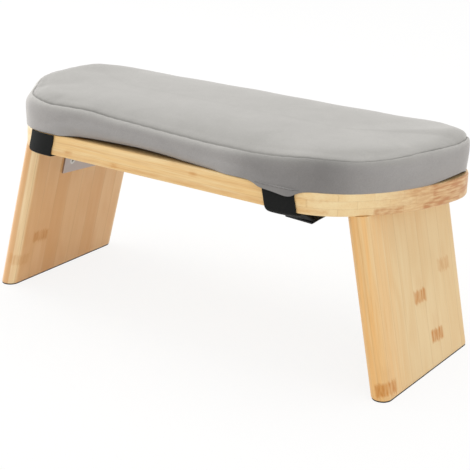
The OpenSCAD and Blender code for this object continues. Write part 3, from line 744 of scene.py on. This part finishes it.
def strapSurface(place, side, way, path, slant):
    # middle points of a strap: path gives distance in from the edge and height; near the edge the strap
    # follows the board's rounded corner, and further under it runs straight
    x = place + bandPlaces(strap["width"])
    shift, normalX, normalU = edgeShift(x, way)
    inward, height = path[:, :1], path[:, 1:]
    follow = 1 - smoothStep(*strap["followRun"], inward)
    edge = seat["rearEdge"] if way < 0 else seat["frontEdge"]
    stand = np.clip(-inward, 0, None)
    leanX = slant * side * (0.5 - smoothStep(-2, board["thickness"], height))
    pointX = x[None] + normalX[None] * stand + leanX
    if way < 0:
        # the sag falls evenly to its tight share at the right selvedge; the left selvedge turns in over a
        # quarter circle as it goes down, and the band narrows with it
        across = bandPlaces(strap["width"])[None] / strap["width"] + 0.5
        away = 1 - smoothStep(*strap["sagRun"], inward)
        drop = np.clip((strap["cornerFrom"] - height) / strap["cornerDrop"], 0, 1)
        pointX = pointX + strap["cornerTurn"] * (1 - np.sqrt(1 - drop ** 2)) * (1 - across) * away
        loose = 1 - (1 - strap["tightShare"]) * smoothStep(0.2, 1, across) * away
        height = np.where(height < 0, height * loose - strap["stand"] * (1 - loose), height)
    pointU = edge - way * (shift[None] * follow) - way * (inward + stand) + way * stand * normalU[None]
    return np.stack(np.broadcast_arrays(pointX, pointU, height), -1)


def makeStrap(side, way):
    # the upright wrap stays on the board's edge, and the part under the board is a tail of its own
    label, end = ("right" if side > 0 else "left"), ("rear" if way < 0 else "front")
    place = side * strap[label + "Place"]
    stand = strap["stand"]
    up = np.linspace(board["thickness"] - strap["clearance"] - 0.3, 0, 12)
    wrap = np.stack([0 * up - stand, up], -1)
    if way < 0:
        slant = strap["slant"]
        path = strap[label + "Sag"] + [(u - seat["rearEdge"], layerHeight(side, u, 2.5)) for u in
                                       (tapeRear + 14, tapeRear + 38, tapeRear + strap["grip"])]
    else:
        slant = 0.0
        front, stop = seat["frontEdge"], tapeRear + strap["tapeLength"] - strap["overlap"]
        path = [(-stand, 0.0), (-stand + 0.35, -0.45), (0.6, layerHeight(side, front, 0.5) - 0.05)]
        path += [(front - u, layerHeight(side, u, 0.5)) for u in (front - 8, front - 60, stop)]
    whole = np.concatenate([wrap, smoothPath(path, 1.5)[1:]])
    centre = strapSurface(place, side, way, whole, slant)
    along = np.concatenate([[0], np.cumsum(np.linalg.norm(np.diff(whole, axis=0), axis=1))])
    cutRow = len(wrap) - 1
    for name, rows in (("StrapWrap", slice(cutRow + 1)), ("StrapTail", slice(cutRow, None))):
        piece = ribbonShell(label + end.capitalize() + name, centre[rows], strap["thickness"], along[rows])
        dress(piece, "webbing", "seat", [label + "_" + end + "_strap"])
    # only the tail, which is made last, lies under the board
    flatten(piece)


def flatten(piece):
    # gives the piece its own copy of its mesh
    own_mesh(piece)


def makeTape(side):
    # the hook tape: a straight band between the two straps, one layer up, its free end towards the rear
    label = "right" if side > 0 else "left"
    place = side * strap[label + "Place"]
    u = np.linspace(tapeRear, tapeRear + strap["tapeLength"], 30)
    x = place + side * strap["tapeShift"] + bandPlaces(strap["tapeWidth"])
    rolled = strap["tapeRoll"] * (place - x[None]) * (1 - smoothStep(tapeRear, tapeRear + 16, u[:, None]))
    height = layerHeight(side, u, 1.5)[:, None] + rolled
    centre = np.stack(np.broadcast_arrays(x[None], u[:, None], height), -1)
    piece = ribbonShell(label + "HookTape", centre, strap["thickness"], u - u[0])
    dress(piece, "hook", "seat", [label + "_hook_tape"])
    flatten(piece)


for side in (-1, 1):
    makeStrap(side, -1)
    makeStrap(side, 1)
    makeTape(side)
print("straps made")


# Cushion

cushion = {
    "crown": 4.4, "bulge": 2.2, "foot": 0.8, "rollHeight": 11.0, "drawIn": 8.0, "shift": -2.0,
    "baseInset": 20.0, "columns": 248, "sideRows": 9, "crownRows": 21,
    # the swelling: the cover starts smaller by start, and keeps the even swelling up to limit, but only the
    # creases' share of what changes within creaseSpan columns
    "start": 1.2, "limit": 3.0, "creases": 0.12, "creaseSpan": 19, "frames": 20,
    "cloth": {"quality": 6, "mass": 0.25, "tension_stiffness": 18, "compression_stiffness": 18,
              "shear_stiffness": 6, "bending_stiffness": 0.6, "use_pressure": True,
              "uniform_pressure_force": 4.0},
    # the seam's dip, the roll of cloth that puffs up beside it, and its dark line of painted shade
    "seamDepth": 1.3, "seamWidth": 1.1, "puff": 0.6, "puffPlace": 4.5, "puffWidth": 3.0, "lineWidth": 0.7,
    # how dark the line is: everywhere, and more from one place along the board to another
    "seamShade": 0.12, "seamShades": [(-40, -100, 0.3), (105, 165, 0.48)],
    # heights of the puckers at the seam, of the slow waves and of the ripples
    "pucker": 0.16, "waves": 0.3, "ripples": 0.2,
    # how far from the seam the shoulder has risen and has faded, and where the side goes over from the
    # top's lighter tone, a painted highlight below the seam, to the side's
    "shoulderRise": 4.5, "shoulderFade": 60.0, "toplitRun": (0.5, 11),
    # how far the side rolls in to the seam, by place along the board
    "roll": [(-240, 2.6), (-215, 3.8), (-180, 6), (-160, 6.5), (140, 6.5), (180, 4), (205, 2.2), (240, 1.6)],
    # how far the top stands up beside the seam at the front
    "shoulder": [(-240, 4.5), (-215, 3.8), (-180, 2.6), (150, 2.6), (200, 4), (240, 6)],
    # how much further the side swells out half way up, and how much painted light it takes, by place along
    # the board
    "swell": [(-240, 2.0), (-215, 1.2), (-190, 0), (180, 0), (215, 0.2), (240, 0.4)],
    "sidePaintedLight": [(-240, 1.6), (-210, 1.4), (-165, 1.24), (-120, 1.1), (70, 1.13), (105, 0.82), (180, 0.7),
                (208, 1.02), (240, 1.22)],
    # how much painted light the top takes, by place along the board
    "topPaintedLight": [(-240, 0.96), (-120, 0.98), (60, 1.0), (150, 1.02), (240, 1.08)],
    # rear lower edge by place along the board: height above the board's underside, stand past its outline
    "rearFoot": [(-240, 31, -0.5), (-228, 27.5, 0), (-205, 21.4, 0.5), (-129, 21.4, 1.2), (-108, 23.2, -4),
                 (-88, 24.2, -5), (-49, 25, -6), (-30, 25.2, -6.5), (-12, 24.6, -6.5), (7, 23.7, -6.5),
                 (20, 22.8, -6), (43, 22, -4.5), (61, 21.4, -3), (78, 21.2, 0.8), (104, 21.4, 1.5),
                 (112, 20, 3), (120, 17.4, 4.8), (134, 16.4, 5), (149, 14.6, 5), (155, 15, 4.6),
                 (159, 18.8, 3.4), (165, 20.3, 1.4), (174, 20.8, 0.5), (189, 19.8, 0.8), (203, 17.6, 2),
                 (216, 16.6, 2.2), (223, 17.2, 2), (230, 18.6, 1.2), (236, 20.4, 0), (240, 21, -1)],
    "frontFoot": [(-240, 31), (-228, 25), (-216, 21.4), (230, 21.4), (236, 22), (240, 26.5)],
    # height of the top seam by place along the board, at the rear and at the front
    "rearSeam": [(-240, 62), (-232, 62), (-222, 60), (-205, 55), (-150, 51.8), (-95, 52.4), (-66, 49.6),
                 (-20, 48), (10, 46.4), (50, 45.6), (100, 45.6), (125, 47.6), (152, 50.4), (168, 52),
                 (192, 52.2), (207, 51.2), (222, 51.4), (240, 55)],
    "frontSeam": [(-240, 57), (-232, 56), (-222, 54), (-205, 52), (-190, 50.4), (-170, 49.8), (-130, 50.4),
                  (-67, 51.6), (134, 52.4), (190, 52.8), (240, 57)],
}


def placeTable(key, x, column=1, span=13):
    # a table's values read at places along the board, eased over a span between its entries
    table = np.array(cushion[key])
    fine = np.arange(-240, 241, 1.0)
    values = np.interp(fine, table[:, 0], table[:, column])
    kernel = np.hanning(span)
    smooth = np.convolve(np.pad(values, span // 2, mode="edge"), kernel / kernel.sum(), mode="valid")
    return np.interp(x, fine, smooth)


def cushionRing(loop, out, height):
    # the outline moved outwards by a distance that may change round it, and shifted towards the left end
    x, u, angle = loop.T
    return np.stack([x + out * np.cos(angle) + cushion["shift"], u + out * np.sin(angle),
                     np.broadcast_to(height, x.shape)], -1)


def footLine(loop):
    # stand past the outline and height of the lower edge: tables at the rear; at the front the even stand
    # less a cosine of the place along the board, deepest midway between the straps
    x, angle = loop[:, 0], loop[:, 2]
    rear = smoothStep(0.15, -0.5, np.sin(angle))
    between = np.clip(np.cos(math.pi / 2 * x / strap["leftPlace"]), 0, None)
    even = cushion["foot"] - cushion["drawIn"] * between * np.sin(angle) ** 2
    out = even + (placeTable("rearFoot", x, 2) - even) * rear
    low = placeTable("frontFoot", x)
    return out, low + (placeTable("rearFoot", x) - low) * rear


def seamHeight(loop):
    # the seam's height: the rear and the front table, blended by the way that the outline faces
    x, angle = loop[:, 0], loop[:, 2]
    front = smoothStep(-0.6, 0.6, np.sin(angle))
    return placeTable("rearSeam", x, 1, 21) * (1 - front) + placeTable("frontSeam", x, 1, 25) * front


def cushionGrid(loop, inset):
    # rings from the middle of the base, out to the foot, up the side and in over the crown
    base = board["thickness"]
    footOut, foot = footLine(loop)
    flat = cushionRing(loop, footOut - cushion["baseInset"], base + 0.4)
    rows = [drawnIn(flat, k) for k in (0.05, 0.25, 0.5, 0.75, 0.93, 1)]
    rows.append(cushionRing(loop, footOut - 1.8, np.maximum(base + 0.45, foot)))
    footRow = len(rows) - 1
    top = seamHeight(loop) - inset
    roll, swell = placeTable("roll", loop[:, 0]), placeTable("swell", loop[:, 0])
    rollStart = 1 - cushion["rollHeight"] / (top.mean() - foot.mean())
    for turn in np.linspace(0, math.pi / 2, cushion["sideRows"] + 1):
        # height share of the row: the side swells up to where it rolls in over a quarter ellipse
        k = math.sin(turn)
        rolled = max(0.0, (k - rollStart) / (1 - rollStart))
        bulge = (cushion["bulge"] - cushion["foot"]) * math.sin(math.pi / 2 * min(1, k / rollStart))
        out = cushion["foot"] + bulge - roll * (1 - math.sqrt(max(0.0, 1 - rolled ** 2))) - inset
        out = out + swell * math.sin(math.pi * k * k) + (footOut - cushion["foot"]) * (1 - k) ** 3
        rows.append(cushionRing(loop, out, foot + (top - foot) * k))
    seamRow = len(rows) - 1
    seamRing = rows[seamRow]
    # the crown: the plane that fits the seam best, the seam's own rise and fall fading inwards, a flat dome
    axes = np.stack([seamRing[:, 0], seamRing[:, 1], 0 * top + 1], -1)
    plane = np.linalg.lstsq(axes, top, rcond=None)[0]
    rest = top - axes @ plane
    for k in np.linspace(1, 0.03, cushion["crownRows"] + 1)[1:]:
        ring = drawnIn(seamRing, k)
        level = ring[:, 0] * plane[0] + ring[:, 1] * plane[1] + plane[2]
        ring[:, 2] = level + rest * k ** 3 + cushion["crown"] * (1 - k ** 4)
        rows.append(ring)
    return np.array(rows), footRow, seamRow


def inflate(grid, footRow, seamRow):
    # blows the closed cover up with cloth simulation: the base and the first ring above it are held, and the
    # seam is held lightly
    columns = grid.shape[1]
    piece = meshPiece("cushionSwelling", fromSeat(grid.reshape(-1, 3)), stripFaces(*grid.shape[:2]))
    group = piece.vertex_groups.new(name="held")
    group.add(list(range((footRow + 2) * columns)), 1.0, "REPLACE")
    group.add(list(range(seamRow * columns, (seamRow + 1) * columns)), 0.25, "REPLACE")
    cloth = piece.modifiers.new("swelling", "CLOTH")
    for key, value in cushion["cloth"].items():
        setattr(cloth.settings, key, value)
    cloth.settings.vertex_group_mass = "held"
    cloth.settings.effector_weights.gravity = 0
    cloth.collision_settings.use_collision = False
    scene = bpy.context.scene
    for step in range(1, cushion["frames"] + 1):
        scene.frame_set(step)
    graph = bpy.context.evaluated_depsgraph_get()
    swollen = piece.evaluated_get(graph).data
    points = np.empty(len(swollen.vertices) * 3)
    swollen.vertices.foreach_get("co", points)
    scene.frame_set(1)
    bpy.data.objects.remove(piece)
    points = points.reshape(-1, 3) * 1000
    y, z = points[:, 1] - seat["shift"], points[:, 2] - seat["height"]
    local = np.stack([points[:, 0], y * tiltCos - z * tiltSin, y * tiltSin + z * tiltCos], -1)
    moved = local.reshape(grid.shape) - grid
    # the stretched cover keeps only a share of the solver's short creases
    span = cushion["creaseSpan"]
    kernel = np.hanning(span) / np.hanning(span).sum()
    even = sum(weight * np.roll(moved, k - span // 2, axis=1) for k, weight in enumerate(kernel))
    moved = even + cushion["creases"] * (moved - even)
    far = np.linalg.norm(moved, axis=-1, keepdims=True)
    print("cushion swells by up to %.1f mm" % far.max())
    return grid + moved * np.minimum(1, cushion["limit"] / np.maximum(far, 1e-9))


def cubicRows(values, at):
    # values along the first axis read at fractional places, by cubic spans with central slopes
    slope = np.gradient(values, axis=0)
    low = np.clip(at.astype(int), 0, len(values) - 2)
    shape = (-1,) + (1,) * (values.ndim - 1)
    t = (at - low).reshape(shape)
    return ((1 + 2 * t) * (1 - t) ** 2 * values[low] + t * (1 - t) ** 2 * slope[low]
            + t * t * (3 - 2 * t) * values[low + 1] + t * t * (t - 1) * slope[low + 1])


def gridNormals(grid):
    # cross product of the two directions of a grid of closed rings, outwards for rings counted upwards
    padded = np.concatenate([grid[:, -1:], grid, grid[:, :1]], axis=1)
    across = np.gradient(padded, axis=1)[:, 1:-1]
    normal = np.cross(across, np.gradient(grid, axis=0))
    return normal / np.maximum(np.linalg.norm(normal, axis=-1, keepdims=True), 1e-9)


def makeCushion():
    # the cover: rings inflated by the cloth solver, made finer, then given its sewn seam and soft unevenness
    loop, length = outlineLoop(cushion["columns"])
    grid, footRow, seamRow = cushionGrid(loop, cushion["start"])
    grid = inflate(grid, footRow, seamRow)
    columns = np.arange(0, cushion["columns"] * 2) / 2
    wide = np.concatenate([grid[:, -2:], grid, grid[:, :3]], axis=1)
    grid = np.moveaxis(cubicRows(np.moveaxis(wide, 1, 0), columns + 2), 0, 1)
    # rows are read again at set distances from the seam, close together beside it
    run = np.concatenate([[0], np.cumsum(np.linalg.norm(np.diff(grid, axis=0), axis=-1).mean(1))])
    close = np.array([0, 0.5, 1.0, 1.6, 2.4, 3.4])
    toFoot, toMiddle = run[seamRow] - run[footRow + 1], run[-1] - run[seamRow]
    down = np.concatenate([np.arange(toFoot, 4, -1.3), close[::-1]])
    over = np.concatenate([close[1:], np.arange(4.8, toMiddle, 2.6), [toMiddle]])
    index = np.arange(len(run))
    side = cubicRows(grid, np.interp(run[seamRow] - down, run, index))
    crown = cubicRows(grid, np.interp(run[seamRow] + over, run, index))
    rows = np.concatenate([grid[:footRow + 1], side, crown])
    seamAt = footRow + len(side)
    onTop = (np.arange(len(rows)) >= seamAt)[:, None]
    normal = gridNormals(rows)
    x, u, v = np.moveaxis(rows, -1, 0)
    # reach is each row's distance from the seam; the base counts as far away
    reach = np.concatenate([np.full(footRow + 1, 99.0), down, over])[:, None]
    depth = -cushion["seamDepth"] * np.exp(-(reach / cushion["seamWidth"]) ** 2)
    puff = cushion["puff"] * np.exp(-((reach - cushion["puffPlace"]) / cushion["puffWidth"]) ** 2)
    # unevenness: sines of sines of the place, so that little repeats; puckers and ripples fade from the seam
    along = np.linspace(0, length, rows.shape[1], endpoint=False)[None]
    pucker = np.sin(along / 2.1 + 2 * np.sin(along / 17)) * np.exp(-(reach / 5) ** 2)
    waves = np.sin(x / 33 + 1.3 * np.sin(u / 31)) * np.sin(u / 26 + x / 90)
    ripples = np.sin(x / 11 + v / 9 + 2 * np.sin(u / 19)) * np.exp(-(reach / 30) ** 2)
    uneven = cushion["pucker"] * pucker + cushion["waves"] * waves + cushion["ripples"] * ripples
    # at the front and the ends the top stands up beside the seam as a rounded shoulder, fading inwards
    facing = np.interp(np.arange(rows.shape[1]) / 2, np.arange(len(loop)), np.sin(loop[:, 2]))
    risen = (1 - np.exp(-reach / cushion["shoulderRise"])) * np.exp(-(reach / cushion["shoulderFade"]) ** 2)
    shoulder = placeTable("shoulder", x, 1, 41) * smoothStep(-0.3, 0.4, facing)[None] * (risen * onTop)
    free = smoothStep(0, 3, np.arange(len(rows)) - footRow)[:, None]
    rows = rows + normal * ((depth + puff + uneven + shoulder) * free)[..., None]
    # the side takes the top's lighter tone beside the seam, a painted highlight, and darkens away from it
    # into painted shade
    panel = np.where(onTop, 1, 1 - smoothStep(*cushion["toplitRun"], reach)) + 0 * x
    # the seam's painted shade shows as a dark line at the ends, and hardly at all midway along
    shade = cushion["seamShade"] + sum(share * smoothStep(first, last, x)
                                       for first, last, share in cushion["seamShades"])
    seamShadow = np.exp(-(reach / cushion["lineWidth"]) ** 2) * shade
    # painted light and sheen by place along the board, on the top and on the side
    nap = np.where(onTop, placeTable("topPaintedLight", x, 1, 61), placeTable("sidePaintedLight", x, 1, 31))
    values = {"panel": panel.ravel(), "seamShadow": seamShadow.ravel(), "paintedLight": nap.ravel()}
    faces = stripFaces(*rows.shape[:2])
    piece = meshPiece("cushionCover", fromSeat(rows.reshape(-1, 3)), faces, values, 70)
    dress(piece, "suede", "seat", ["cushion_cover", "foam_pad"])


# the cloth's heights above the board, and its rim's section: stand past the cushion's foot, height
gripBase = {
    "columns": 300, "low": 0.02, "high": 0.32, "shares": (0.05, 0.5, 1),
    "rim": [(-2.4, 0.02), (-1.9, 0.02), (-1.55, 0.1), (-1.5, 0.2), (-1.6, 0.3), (-2.4, 0.32)],
}


def makeBase():
    # the non-slip cloth: a thin plate with a rounded rim that rises with the cushion's foot at the rear
    loop = outlineLoop(gripBase["columns"])[0]
    base = board["thickness"]
    footOut, foot = footLine(loop)
    lift = np.maximum(base, foot - 0.45)
    inner = footOut - cushion["baseInset"]
    low, high = (cushionRing(loop, inner, base + height) for height in (gripBase["low"], gripBase["high"]))
    rows = [drawnIn(low, k) for k in gripBase["shares"]]
    rows += [cushionRing(loop, footOut + out, lift + height) for out, height in gripBase["rim"]]
    rows += [drawnIn(high, k) for k in gripBase["shares"][::-1]]
    rows = np.array(rows)
    piece = meshPiece("gripBase", fromSeat(rows.reshape(-1, 3)), stripFaces(*rows.shape[:2]))
    dress(piece, "grip", "seat", ["cushion_base"])


makeCushion()
makeBase()
print("cushion made")


# Floor, lights and camera

studio = {
    "floorColour": "#f2f1ef", "floorReach": 4.0, "worldStrength": 0.84, "backdropShare": 0.85,
    # softboxes: place and width in metres and power in watts; all face one point inside the bench
    "faced": (0, 0, 0.12),
    "softboxes": {"topSoftbox": ((0.0, 0.3, 1.9), 1.4, 12.0), "leftSoftbox": ((-1.8, 0.0, 0.6), 1.1, 14.0),
                  "rightSoftbox": ((1.7, -0.5, 0.55), 1.1, 1.2)},
}


def seenDirectly(owner):
    # 1 for camera, glossy and transmission rays, which see the backdrop itself, 0 for the light it gives
    rays = addNode(owner, "LightPath").node.outputs
    seen = addNode(owner, "Math", {0: rays["Is Camera Ray"], 1: rays["Is Glossy Ray"]}, operation="MAXIMUM")
    return addNode(owner, "Math", {0: seen, 1: rays["Is Transmission Ray"]}, operation="MAXIMUM")


def makeFloor():
    # a plain pale ground that keeps the soft shadow and runs out to white for the camera
    corners = [(x * studio["floorReach"], y * studio["floorReach"], 0) for x, y in
               ((-1, -1), (1, -1), (1, 1), (-1, 1))]
    floor = meshPiece("studioFloor", corners, [(0, 1, 2, 3)])
    m = newMaterial("paperBackdrop")
    share = addNode(m, "Math", {0: seenDirectly(m), 1: studio["backdropShare"]}, operation="MULTIPLY")
    paper = addNode(m, "BsdfDiffuse", {"Color": linearColour(studio["floorColour"])})
    shine = addNode(m, "Emission", {"Color": (1, 1, 1, 1), "Strength": 1.0})
    both = addNode(m, "MixShader", {0: share, 1: paper, 2: shine})
    finishMaterial(m, both)
    floor.data.materials.append(m)


def makeWorld():
    # an even sky, plain white where it is seen and weaker where it lights
    world = bpy.data.worlds.new("studio")
    bpy.context.scene.world = world
    world.use_nodes = True
    world.node_tree.nodes.clear()
    power = addNode(world, "MapRange", {"Value": seenDirectly(world), "To Min": studio["worldStrength"],
                                        "To Max": 1.0})
    light = addNode(world, "Background", {"Color": (1, 1, 1, 1), "Strength": power})
    output = world.node_tree.nodes.new("ShaderNodeOutputWorld")
    world.node_tree.links.new(light, output.inputs["Surface"])


def addLamp(name, place, size, power):
    # a square softbox that faces the bench
    lamp = bpy.data.lights.new(name, "AREA")
    lamp.shape = "SQUARE"
    lamp.size = size
    lamp.energy = power
    holder = bpy.data.objects.new(name, lamp)
    bpy.context.scene.collection.objects.link(holder)
    holder.location = place
    way = Vector(studio["faced"]) - Vector(place)
    holder.rotation_euler = way.to_track_quat("-Z", "Y").to_euler()


# The photograph's view: angles in degrees, lengths in millimetres, focal length and frame in its pixels
photoView = {"azimuth": 36.996, "elevation": 20.784, "roll": -0.501, "distance": 1536.4,
             "target": (-22.2, 40.26, 63.8), "focal": 1447.1, "frame": 470, "sensor": 36.0}


def makeCamera():
    # stands back from the target along azimuth and elevation, then turns about its own axis by the roll
    a, e, r = (math.radians(photoView[key]) for key in ("azimuth", "elevation", "roll"))
    back = np.array([math.sin(a) * math.cos(e), -math.cos(a) * math.cos(e), math.sin(e)])
    right = np.cross([0, 0, 1], back)
    right /= np.linalg.norm(right)
    up = np.cross(back, right)
    right, up = right * math.cos(r) + up * math.sin(r), up * math.cos(r) - right * math.sin(r)
    place = (np.array(photoView["target"]) + back * photoView["distance"]) / 1000
    camera = bpy.data.cameras.new("photoCamera")
    camera.sensor_width = photoView["sensor"]
    camera.lens = photoView["focal"] / photoView["frame"] * photoView["sensor"]
    camera.clip_start, camera.clip_end = 0.05, 50
    holder = bpy.data.objects.new("photoCamera", camera)
    bpy.context.scene.collection.objects.link(holder)
    holder.matrix_world = Matrix([[right[i], up[i], back[i], place[i]] for i in range(3)] + [[0, 0, 0, 1]])
    bpy.context.scene.camera = holder


makeFloor()
makeWorld()
for name, (place, size, power) in studio["softboxes"].items():
    addLamp(name, place, size, power)
makeCamera()
bpy.context.scene.view_settings.view_transform = "Standard"
print("floor, lights and camera made")
